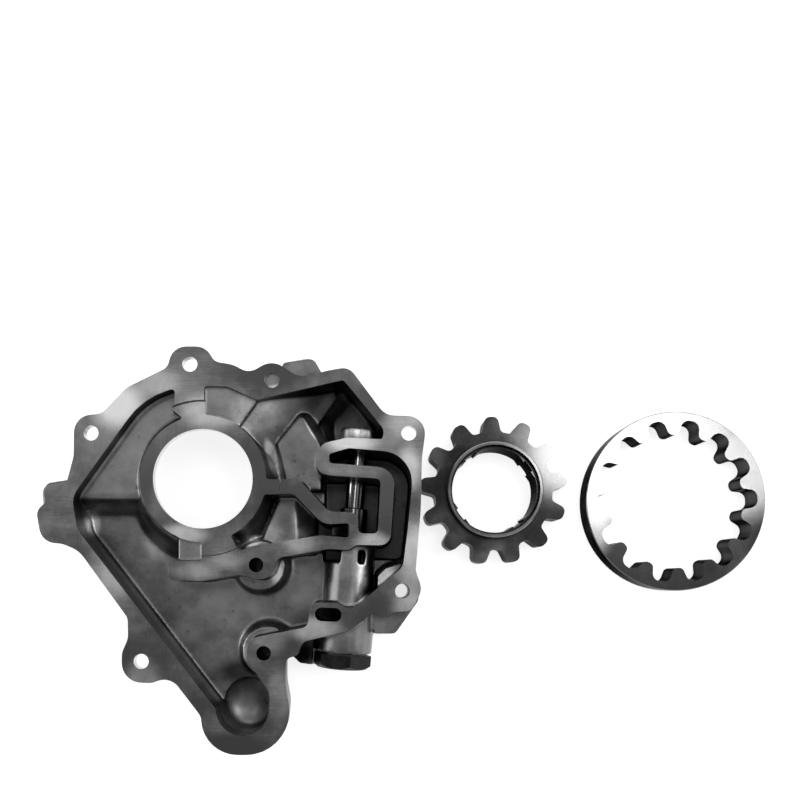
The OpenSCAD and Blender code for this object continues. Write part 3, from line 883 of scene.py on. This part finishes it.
@dataclass
class Housing:
    """The casting: a soft-edged cast skin, with the faces and holes cut into it afterwards."""

    node: str = "housing"
    body: str = "housing"
    joint_z: float = 30 * MM
    seat_z: float = 29 * MM
    seal_depth: float = 8 * MM
    seal_r: float = 31 * MM
    recess_r: float = 35.3 * MM
    groove_depth: float = 0.35 * MM
    groove_w: float = 0.45 * MM
    groove_over: float = 0.1 * MM
    bore_r: float = 22.5 * MM
    bore_land: float = 4 * MM
    stock: float = 2.5 * MM
    voxel: float = 0.55 * MM
    soften: int = 9
    keep_faces: float = 0.4
    smooth_angle: float = 32.0
    facets: int = 192
    drill_facets: int = 64
    over: float = 0.5 * MM
    bolt_r: float = 3.4 * MM
    bolts: tuple[Point, ...] = ((-5.6, 51.4), (-50.1, 20.4), (-27.5, -82.4), (90.2, -50.8),
                                (93.0, 20.4))
    tapped_r: float = 3.3 * MM
    tapped_depth: float = 18 * MM
    tapped: tuple[Point, ...] = ((24.2, -39.0), (27.6, -78.8))
    dowel: Point = (31.4, 44.3)
    dowel_r: float = 3.5 * MM
    dowel_depth: float = 2 * MM
    bowl: Point = (18.0, -104.0)
    bowl_r: float = 12 * MM
    dish_r: float = 20 * MM
    dish_z: float = 5 * MM
    floor_z: float = 10 * MM
    fill_lap: float = 2 * MM
    fill_brim: float = 4.5 * MM
    fill_lip: float = 1 * MM
    dish_over: float = 6 * MM
    sleeve_block: tuple[Point, Point] = ((58.0, -27.5), (66.4, -19.5))
    sleeve_z: float = 21.2 * MM
    rim_foot: float = 20 * MM
    slot_r: float = 3.1 * MM
    slot_ends: tuple[Point, Point] = ((53.8, -61.2), (59.6, -61.5))
    slot_depth: float = 18 * MM
    # Painted reflections and painted shade on the milled face, where brushed metal would catch or
    # miss the lamps
    face_light_patches: tuple[LightPatch, ...] = (
        LightPatch(-38, 33, 17, 15, 0.55), LightPatch(-20, 43, 14, 10, 0.25), LightPatch(30, 50, 34, 11, -0.2),
        LightPatch(3, 30, 18, 12, 0.36), LightPatch(-27, 3, 10, 24, -0.25), LightPatch(28, 4, 14, 20, -0.2),
        LightPatch(-8, -25, 14, 7, 0.6), LightPatch(-4, -42, 15, 6, 0.25), LightPatch(-27, -89, 12, 11, 0.3),
        LightPatch(10, -122, 28, 10, -0.25), LightPatch(50, -68, 18, 8, 0.4), LightPatch(66, 17, 17, 9, 0.55),
        LightPatch(84, -10, 8, 24, -0.25), LightPatch(77, -29, 13, 8, 0.5), LightPatch(46, -8, 16, 9, -0.2),
        LightPatch(96, -34, 12, 24, 0.5), LightPatch(93, -57, 12, 12, 0.3), LightPatch(92, 27, 12, 13, 0.25),
        LightPatch(76, 33, 9, 13, -0.25), LightPatch(-40, -40, 14, 22, 0.3), LightPatch(93, 4, 8, 14, 0.4),
        LightPatch(30, -72, 12, 11, 0.3), LightPatch(64, 4, 14, 5, 0.12), LightPatch(34, -100, 8, 18, 0.2),
        LightPatch(45, -29, 12, 6, 0.25), LightPatch(12, -37, 12, 6, 0.2))
    # Painted highlights on fillets, edges, bosses and the bowl, and painted shade on dark webs and
    # deep corners
    cast_light_patches: tuple[LightPatch, ...] = (
        LightPatch(23, 30, 15, 12, 1.3), LightPatch(27, -24, 11, 9, 0.8), LightPatch(38, -16, 8, 13, -0.2),
        LightPatch(46, -19, 9, 13, 2.0), LightPatch(15, -107, 12, 12, 1.0), LightPatch(8, -112, 8, 8, 0.8),
        LightPatch(31, 9, 3.5, 13, 9.0, 19), LightPatch(50, 24.6, 10, 3.5, 8.0, -58),
        LightPatch(56, 37, 20, 17, -0.8), LightPatch(42, 12, 14, 16, -0.2), LightPatch(72, 23.5, 10, 4, 3.0),
        LightPatch(-57, -19, 5, 9, 3.5), LightPatch(19, -27.5, 7, 4, 8.0), LightPatch(21, -19, 9, 12, 2.0),
        LightPatch(32, -42, 4, 8, 2.5), LightPatch(16, -77, 4, 9, 2.0), LightPatch(83, -44.5, 7, 8, 2.0),
        LightPatch(66, -50, 5, 30, 0.4), LightPatch(72, -46, 4, 16, 3.5), LightPatch(43, -81, 11, 10, -0.97),
        LightPatch(56.7, -61.4, 8, 6, -0.85), LightPatch(12.5, -89.5, 14, 9, -0.8),
        LightPatch(63, -24, 8, 7, -0.97), LightPatch(-44, -12, 18, 6, 0.8),
        LightPatch(-26, -30, 11, 8, 0.8, -40), LightPatch(-45, 13.6, 30, 3, 1.8, 55),
        LightPatch(33, 40.5, 17, 3, 3.0, 11.5))
    helpers: list[bpy.types.Object] = field(default_factory=list)

    def build(self, node: bpy.types.Object, valve: "ReliefValve") -> bpy.types.Object:
        """Builds and dresses the casting.

        Args:
            node: The CAD housing.
            valve: The relief valve, whose bores are cut.

        Returns:
            The dressed piece.
        """
        blank = self.cast_blank(node)
        groove = new_object("groove", self.recess_groove())
        for cutter in (self.face_cutter(), self.hole_cutters(), groove, valve.bore_cutter()):
            self.helpers.append(cutter)
            cut(blank, cutter)
        mesh = flattened(blank)
        mesh.name = "cast_housing"
        discard([blank, *self.helpers])
        piece = new_object("cast_housing", mesh)
        self.dress(piece)
        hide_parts(self.node)
        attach(piece, self.body)
        return piece

    def cast_blank(self, node: bpy.types.Object) -> bpy.types.Object:
        """The casting before it is machined: stock on the face, and rounded inner corners.

        Args:
            node: The CAD housing.

        Returns:
            A helper object with its modifiers.
        """
        mesh = node.data.copy()
        places = np.empty(len(mesh.vertices) * 3)
        mesh.vertices.foreach_get("co", places)
        places = places.reshape(-1, 3)
        faced = places[:, 2] > self.seat_z - 0.01 * MM
        places[faced, 2] = self.joint_z + self.stock
        mesh.vertices.foreach_set("co", places.ravel())
        blank = new_object("casting_blank", joined_mesh("casting_blank", (
            mesh, self.bowl_fill(), self.sleeve_fill())))
        skin = blank.modifiers.new("cast skin", "REMESH")
        skin.mode = "VOXEL"
        skin.voxel_size = self.voxel
        dish = new_object("dish", self.dish_cutter())
        self.helpers.append(dish)
        cut(blank, dish)
        soft = blank.modifiers.new("cast radii", "SMOOTH")
        soft.factor = 0.5
        soft.iterations = self.soften
        fewer = blank.modifiers.new("fewer faces", "DECIMATE")
        fewer.ratio = self.keep_faces
        return blank

    def bowl_fill(self) -> bpy.types.Mesh:
        """Metal that closes the bowl up to the gallery's floor, for the dish to be cut in.

        Returns:
            The fill.
        """
        frame = Matrix.Translation((self.bowl[0] * MM, self.bowl[1] * MM, 0.0))
        foot = self.dish_z - self.fill_lap
        radius = self.bowl_r + self.fill_brim
        profile = ((0, foot), (self.bowl_r - self.fill_lap, foot),
                   (radius, self.floor_z - self.fill_lip), (radius, self.floor_z),
                   (0, self.floor_z))
        return turned_mesh("bowl_fill", profile, frame)

    def sleeve_fill(self) -> bpy.types.Mesh:
        """Wall of the valve's sleeve towards the middle gallery, still without its bore.

        Returns:
            The block.
        """
        (left, low), (right, high) = self.sleeve_block
        outline = rectangle(left * MM, low * MM, right * MM, high * MM)
        return prism_mesh("sleeve_fill", outline, self.dish_z, self.sleeve_z)

    def dish_cutter(self) -> bpy.types.Mesh:
        """Cutter of the shallow round dish in the bowl.

        Returns:
            The cutter's mesh.
        """
        frame = Matrix.Translation((self.bowl[0] * MM, self.bowl[1] * MM, 0.0))
        steps = 12
        reach = math.asin(self.bowl_r / self.dish_r)
        profile = [(self.dish_r * math.sin(reach * k / steps),
                    self.dish_z + self.dish_r * (1 - math.cos(reach * k / steps)))
                   for k in range(steps + 1)]
        top = self.floor_z + self.dish_over
        return turned_mesh("dish", profile + [(self.bowl_r, top), (0, top)], frame)

    def face_cutter(self) -> bpy.types.Object:
        """Cutter that planes the joint face.

        Returns:
            The cutter.
        """
        reach = 0.2
        top = self.joint_z + 4 * self.stock
        return new_object("face_cutter", prism_mesh(
            "face_cutter", rectangle(-reach, -reach, reach, reach), self.joint_z, top))

    def hole_cutters(self) -> bpy.types.Object:
        """Cutters of the rotor seat and of every drilled hole.

        Returns:
            The cutters as one object.
        """
        top = self.joint_z + self.over
        land_z = self.seat_z - self.bore_land
        seat = turned_mesh("seat", ((0, land_z), (self.bore_r, land_z),
                                    (self.bore_r, self.seat_z), (self.recess_r, self.seat_z),
                                    (self.recess_r, top), (0, top)),
                           Matrix.Identity(4), self.facets)
        seal = turned_mesh("seal", ((0, -self.over), (self.seal_r, -self.over),
                                    (self.seal_r, self.seal_depth), (0, self.seal_depth)),
                           Matrix.Identity(4), self.facets)
        parts = [seat, seal, self.slot_mesh(top)]
        parts += [self.drill(at, self.bolt_r, -self.over) for at in self.bolts]
        parts += [self.drill(at, self.tapped_r, self.joint_z - self.tapped_depth)
                  for at in self.tapped]
        parts.append(self.drill(self.dowel, self.dowel_r, self.joint_z - self.dowel_depth))
        return new_object("hole_cutters", joined_mesh("hole_cutters", parts))

    def drill(self, at: Point, radius: float, low: float) -> bpy.types.Mesh:
        """One drill, from a height up through the joint face.

        Args:
            at: Place of its axis in millimetres.
            radius: Its radius.
            low: Height of its flat end.

        Returns:
            The mesh.
        """
        top = self.joint_z + self.over
        frame = Matrix.Translation((at[0] * MM, at[1] * MM, 0.0))
        return turned_mesh("drill", ((0, low), (radius, low), (radius, top), (0, top)),
                           frame, self.drill_facets)

    def recess_groove(self) -> bpy.types.Mesh:
        """Cutter of the fine groove that the tool left at the foot of the recess.

        Returns:
            The cutter's mesh.
        """
        low, top = self.seat_z - self.groove_depth, self.seat_z + self.groove_over
        rim, inner = self.recess_r, self.recess_r - self.groove_w
        points = ((inner, low), (rim, low), (rim, top), (inner, top))
        form = bmesh.new()
        rings = [ring(form, radius, height, self.facets, Matrix.Identity(4))
                 for radius, height in points]
        for near, far in zip(rings, rings[1:] + rings[:1]):
            wall(form, near, far)
        bmesh.ops.recalc_face_normals(form, faces=form.faces)
        return mesh_from(form, "groove")

    def slot_mesh(self, top: float) -> bpy.types.Mesh:
        """Cutter of the long transfer hole.

        Args:
            top: Height of the cutter's top.

        Returns:
            The mesh.
        """
        (ax, ay), (bx, by) = self.slot_ends
        lean = math.atan2(by - ay, bx - ax)
        steps = 16
        outline = [((x * MM + self.slot_r * math.cos(start + math.pi * k / steps + lean)),
                    (y * MM + self.slot_r * math.sin(start + math.pi * k / steps + lean)))
                   for x, y, start in ((bx, by, -math.pi / 2), (ax, ay, math.pi / 2))
                   for k in range(steps + 1)]
        return prism_mesh("slot", outline, self.joint_z - self.slot_depth, top)

    def dress(self, piece: bpy.types.Object) -> None:
        """Gives the machined faces and bores their own finish.

        Args:
            piece: The casting.
        """
        mesh = piece.data
        cast = CastFinish(light_patches=self.cast_light_patches)
        milled = MilledFinish("milled aluminium", dark=0.1, light=0.85, roughness=0.3,
                              grain=Grain.UP_AND_DOWN, light_patches=self.face_light_patches)
        bored = MilledFinish("bored aluminium", dark=0.75, light=0.9, roughness=0.3,
                             grain=Grain.NONE)
        coat(piece, cast.material(), milled.material(), bored.material())
        milled_slot, bored_slot = 1, 2
        count = len(mesh.polygons)
        centre = np.empty(count * 3)
        normal = np.empty(count * 3)
        mesh.polygons.foreach_get("center", centre)
        mesh.polygons.foreach_get("normal", normal)
        centre, normal = centre.reshape(-1, 3), normal.reshape(-1, 3)
        slack, round_slack, flat_from, upright_to = 0.02 * MM, 0.01, 0.99, 0.3
        from_axis = np.hypot(centre[:, 0], centre[:, 1])
        level = normal[:, 2] > flat_from
        joint = level & (abs(centre[:, 2] - self.joint_z) < slack)
        seat = level & (abs(centre[:, 2] - self.seat_z) < slack) & (from_axis < self.recess_r)
        finish = np.zeros(count, dtype=np.int32)
        finish[joint | seat] = milled_slot
        upright = abs(normal[:, 2]) < upright_to
        for (x, y), radius, foot in self.bored():
            away = np.hypot(centre[:, 0] - x * MM, centre[:, 1] - y * MM)
            smooth = (abs(away - radius) < round_slack * radius) & (centre[:, 2] > foot)
            finish[upright & smooth] = bored_slot
        mesh.polygons.foreach_set("material_index", finish)
        smooth_by_angle(mesh, self.smooth_angle)

    def bored(self) -> list[tuple[Point, float, float]]:
        """Lists the smooth holes.

        Returns:
            Place and radius of each, and the height above which it is smooth.
        """
        centre = (0.0, 0.0)
        holes = [(centre, self.bore_r, 0.0), (centre, self.seal_r, 0.0),
                 (centre, self.recess_r, 0.0), (self.dowel, self.dowel_r, 0.0)]
        holes += [(at, self.bolt_r, self.rim_foot) for at in self.bolts]
        return holes


@dataclass
class ReliefValve:
    """Plunger, spring, plug and washer on the leaning valve axis."""

    start: Place = (70.3 * MM, 16 * MM, 14 * MM)
    lean: float = 4.6
    pilot_bore_r: float = 4.44 * MM
    land_bore_r: float = 6.54 * MM
    thread_bore_r: float = 8.1 * MM
    head_room_r: float = 14.5 * MM
    land_bore_start: float = 23 * MM
    thread_start: float = 84 * MM
    boss_end: float = 95.7 * MM
    spring_start: float = 36 * MM
    spring_end: float = 86 * MM
    spring_gap: float = 0.1 * MM
    spring_r: float = 4.2 * MM
    wire_d: float = 1.4 * MM
    turns: int = 11
    travel: float = 8 * MM
    shank_r: float = 8 * MM
    shank_facets: int = 96
    washer_t: float = 1 * MM
    hex_flats: float = 24 * MM
    hex_turn: float = 12
    hex_h: float = 6.5 * MM
    crown_inset: float = 0.4 * MM
    crown_fall: float = 1.7
    crown_over: float = 0.1 * MM
    thread_pitch: float = 1.5 * MM
    thread_depth: float = 0.7 * MM
    neck_h: float = 1 * MM
    lap: float = 0.5 * MM
    tool_run: float = 20 * MM
    washer_edge: float = 0.2 * MM
    smooth_angle: float = 30.0

    def frame(self) -> Matrix:
        """Turns the valve's own axes, Z along its travel, into the scene's.

        Returns:
            The valve's frame.
        """
        a = math.radians(self.lean)
        across = Vector((math.cos(a), -math.sin(a), 0))
        along = Vector((-math.sin(a), -math.cos(a), 0))
        turn = Matrix((across, (0, 0, 1), along)).transposed().to_4x4()
        return Matrix.Translation(self.start) @ turn

    def bore_cutter(self) -> bpy.types.Object:
        """Cutter of the stepped bore, the thread and the plug's flat seat.

        Returns:
            The cutter.
        """
        far = self.boss_end + self.tool_run
        steps = ((0, 0), (self.pilot_bore_r, 0), (self.pilot_bore_r, self.land_bore_start),
                 (self.land_bore_r, self.land_bore_start),
                 (self.land_bore_r, self.thread_start), (self.thread_bore_r, self.thread_start),
                 (self.thread_bore_r, self.boss_end), (self.head_room_r, self.boss_end),
                 (self.head_room_r, far), (0, far))
        return new_object("valve_cutter", turned_mesh("valve_cutter", steps, self.frame()))

    def build(self, nodes: dict[str, bpy.types.Object]) -> list[bpy.types.Object]:
        """Builds and dresses the valve's pieces.

        Args:
            nodes: The CAD nodes by name.

        Returns:
            The pieces.
        """
        ground = PolishedFinish("ground steel").material()
        plunger, washer = nodes["relief_plunger"], nodes["plug_washer"]
        coat(plunger, ground)
        coat(washer, PlatedFinish("washer steel", 0.03, 0.07, 0.4).material())
        eased_edges(washer, self.washer_edge)
        return [plunger, washer, self.spring(), self.plug()]

    def spring(self) -> bpy.types.Object:
        """The coil spring, wound round the valve's axis.

        Returns:
            The spring.
        """
        per_turn = 24
        wire_r = self.wire_d / 2
        low = self.spring_start + wire_r + self.spring_gap
        free = self.spring_end - self.spring_start - self.wire_d - 2 * self.spring_gap
        curve = bpy.data.curves.new("spring_path", "CURVE")
        curve.dimensions = "3D"
        curve.bevel_depth = wire_r
        curve.bevel_resolution = 3
        curve.use_fill_caps = True
        path = curve.splines.new("POLY")
        count = self.turns * per_turn + 1
        path.points.add(count - 1)
        frame = self.frame()
        for k in range(count):
            share = k / (count - 1)
            angle = 2 * math.pi * k / per_turn
            place = frame @ Vector((self.spring_r * math.cos(angle),
                                    self.spring_r * math.sin(angle), low + free * share))
            path.points[k].co = (*place, 1.0)
        helper = new_object("spring_path", curve)
        mesh = flattened(helper)
        discard([helper])
        mesh.name = "coil_spring"
        mesh.shade_smooth()
        piece = new_object("coil_spring", mesh)
        coat(piece, PlatedFinish("spring wire", 0.05, 0.12, 0.32).material())
        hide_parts("relief_spring")
        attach(piece, "housing")
        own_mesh(piece)
        return piece

    def plug(self) -> bpy.types.Object:
        """The hexagon plug: chamfered head, narrow collar and threaded shank.

        Returns:
            The plug.
        """
        seat = self.boss_end + self.washer_t
        top = seat + self.hex_h
        half = self.hex_flats / 2
        sides = 6
        half_turn = math.radians(180 / sides)
        corner = half / math.cos(half_turn)
        chamfer = (corner - half) * math.tan(half_turn)
        form = bmesh.new()
        frame = self.frame()
        turns = [math.radians(self.hex_turn + 360 / sides * k) for k in range(sides)]
        rings = [[form.verts.new(frame @ Vector((corner * math.cos(turn),
                                                 corner * math.sin(turn), z)))
                  for turn in turns] for z in (seat, top)]
        form.faces.new(rings[0])
        form.faces.new(tuple(reversed(rings[1])))
        wall(form, *rings)
        bmesh.ops.recalc_face_normals(form, faces=form.faces)
        piece = new_object("hexagon_plug", mesh_from(form, "hexagon"))
        below, wide = seat - self.neck_h, corner + self.crown_over
        crown = new_object("crown", turned_mesh("crown", (
            (0, below), (wide, below), (wide, top - chamfer * self.crown_fall),
            (half - self.crown_inset, top), (0, top)), frame))
        shank = new_object("shank", turned_mesh("shank", self.thread_profile(seat), frame,
                                                self.shank_facets))
        cut(piece, crown, "INTERSECT")
        cut(piece, shank, "UNION")
        mesh = flattened(piece)
        discard([piece, crown, shank])
        mesh.name = "hexagon_plug"
        smooth_by_angle(mesh, self.smooth_angle)
        piece = new_object("hexagon_plug", mesh)
        coat(piece, PlatedFinish("black oxide", 0.008, 0.024, 0.34).material())
        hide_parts("relief_plug")
        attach(piece, "housing")
        return piece

    def thread_profile(self, seat: float) -> list[Point]:
        """Outline of the shank: rings of thread between its end and the head.

        Args:
            seat: Height of the head's under side.

        Returns:
            (radius, height) points.
        """
        neck = self.shank_r - self.thread_depth
        points: list[Point] = [(0, self.spring_end), (neck, self.spring_end)]
        height = self.spring_end + self.lap
        while height + self.thread_pitch < seat - self.neck_h:
            points += [(neck, height), (self.shank_r, height + self.thread_pitch / 2)]
            height += self.thread_pitch
        return points + [(neck, height), (neck, seat + self.lap), (0, seat + self.lap)]


@dataclass
class RotorPair:
    """The two toothed rotors."""

    # Painted reflections: bright and dark patches on the rotor faces, where they would mirror the
    # lamps
    inner_light_patches: tuple[LightPatch, ...] = (
        LightPatch(168, 12, 32, 28, 0.62), LightPatch(134, -37, 26, 14, 0.22),
        LightPatch(143, 28, 16, 14, 0.15), LightPatch(112, -22, 16, 16, 0.14), LightPatch(104, 12, 12, 16, 0.1))
    outer_light_patches: tuple[LightPatch, ...] = (
        LightPatch(215, 30, 110, 63, 2.0), LightPatch(181, -24, 13, 16, 0.35), LightPatch(250, -36, 16, 14, 0.1))
    edge: float = 0.3 * MM

    def dress(self, nodes: dict[str, bpy.types.Object]) -> list[bpy.types.Object]:
        """Gives both rotors their steel and broken edges.

        Args:
            nodes: The CAD nodes by name.

        Returns:
            The pieces.
        """
        finishes = {"inner_rotor": SinteredFinish("inner rotor steel",
                                                  light_patches=self.inner_light_patches),
                    "outer_rotor": SinteredFinish("outer rotor steel",
                                                  light_patches=self.outer_light_patches)}
        for name, finish in finishes.items():
            rotor = nodes[name]
            coat(rotor, finish.material())
            eased_edges(rotor, self.edge)
        return [nodes[name] for name in finishes]


@dataclass(frozen=True)
class Panel:
    """A soft lamp: a rectangle that shines."""

    name: str
    place: Place
    size: Point
    radiance: float
    aim: Place = (0.09, -0.02, 0.0)

    def light(self) -> None:
        """Puts the lamp into the scene, aimed at the middle of the object."""
        lamp = bpy.data.lights.new(self.name, "AREA")
        lamp.shape = "RECTANGLE"
        lamp.size, lamp.size_y = self.size
        lamp.energy = self.radiance * math.pi * self.size[0] * self.size[1]
        holder = new_object(self.name, lamp)
        holder.location = self.place
        beam = Vector(self.aim) - Vector(self.place)
        holder.rotation_euler = beam.to_track_quat("-Z", "Y").to_euler()


@dataclass
class Studio:
    """Camera over the table, soft panels, pale world and white table."""

    camera_place: Place = (0.07641, -0.04576, 0.366)
    lens: float = 33.59
    sensor: float = 36.0
    shift: Point = (0.035, 0.225)
    world_level: float = 0.4
    table_size: float = 6.0
    table_gap: float = 0.05 * MM
    table_grey: float = 0.8
    table_glow: float = 0.75
    panels: tuple[Panel, ...] = (
        Panel("right_panel", (0.50, 0.21, 1.0), (0.55, 0.26), 2.6),
        Panel("middle_panel", (0.06, 0.20, 1.0), (0.16, 0.12), 2.6),
        Panel("left_panel", (-0.34, 0.27, 1.0), (0.3, 0.14), 2.2),
        Panel("left_side", (-1.1, 0.1, 0.55), (0.5, 0.9), 2.5),
        Panel("right_side", (1.35, 0.2, 0.7), (0.5, 0.9), 2.5),
        Panel("back_side", (0.1, 1.2, 0.6), (0.9, 0.4), 2.0),
    )

    def set_up(self) -> None:
        """Builds camera, lamps, world and table."""
        self.camera()
        for panel in self.panels:
            panel.light()
        self.world()
        self.table()
        bpy.context.scene.view_settings.view_transform = "Standard"

    def camera(self) -> None:
        """The photograph's camera: straight down, with its frame shifted."""
        data = bpy.data.cameras.new("camera")
        data.lens = self.lens
        data.sensor_width = self.sensor
        data.shift_x, data.shift_y = self.shift
        data.clip_start, data.clip_end = 0.01, 10.0
        camera = new_object("camera", data)
        camera.location = self.camera_place
        bpy.context.scene.camera = camera

    def world(self) -> None:
        """Even grey light from all round."""
        world = bpy.data.worlds.new("studio")
        world.use_nodes = True
        shade = world.node_tree.nodes["Background"]
        shade.inputs["Color"].default_value = (1.0, 1.0, 1.0, 1.0)
        shade.inputs["Strength"].default_value = self.world_level
        bpy.context.scene.world = world

    def table(self) -> None:
        """White table that still takes the object's shadow."""
        half = self.table_size / 2
        mesh = bpy.data.meshes.new("table")
        mesh.from_pydata([(x, y, 0) for x, y in rectangle(-half, -half, half, half)],
                         [], [(0, 1, 2, 3)])
        table = new_object("table", mesh)
        table.location.z = -self.table_gap
        graph = ShaderGraph("white table")
        graph.finish((*(self.table_grey,) * 3, 1.0), roughness=0.9, metallic=0.0, specular=0.1)
        seen = graph.add("ShaderNodeLightPath")
        straight = graph.maths("MAXIMUM", seen.outputs["Is Camera Ray"],
                               graph.maths("MAXIMUM", seen.outputs["Is Glossy Ray"],
                                           seen.outputs["Is Transmission Ray"]))
        glow = graph.add("ShaderNodeEmission")
        graph.put(glow.inputs["Strength"], graph.maths("MULTIPLY", straight, self.table_glow))
        both = graph.add("ShaderNodeAddShader")
        graph.put(both.inputs[0], graph.shader.outputs["BSDF"])
        graph.put(both.inputs[1], glow.outputs["Emission"])
        graph.put(graph.tree.nodes["Material Output"].inputs["Surface"], both.outputs[0])
        mesh.materials.append(graph.material)


def corners(box: tuple[Vector, Vector]) -> list[list[float]]:
    """Both corners of a box as plain lists of numbers."""
    return [[float(value) for value in corner] for corner in box]


def report(pieces: Sequence[bpy.types.Object]) -> None:
    """Logs what each piece is made of.

    Args:
        pieces: The pieces.
    """
    for piece in pieces:
        finishes = ", ".join(slot.name for slot in piece.material_slots)
        LOG.info("%s: %d faces, %s", piece.name, len(piece.data.polygons), finishes)


def main() -> None:
    """Loads the frame, dresses the pump, lights it and logs its pieces."""
    logging.basicConfig(level=logging.INFO, format="%(name)s: %(message)s")
    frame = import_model()
    nodes = frame["nodes"]
    Studio().set_up()
    valve = ReliefValve()
    pieces = [Housing().build(nodes["housing"], valve)]
    pieces += valve.build(nodes)
    pieces += RotorPair().dress(nodes)
    report(pieces)


if __name__ == "__main__":
    main()
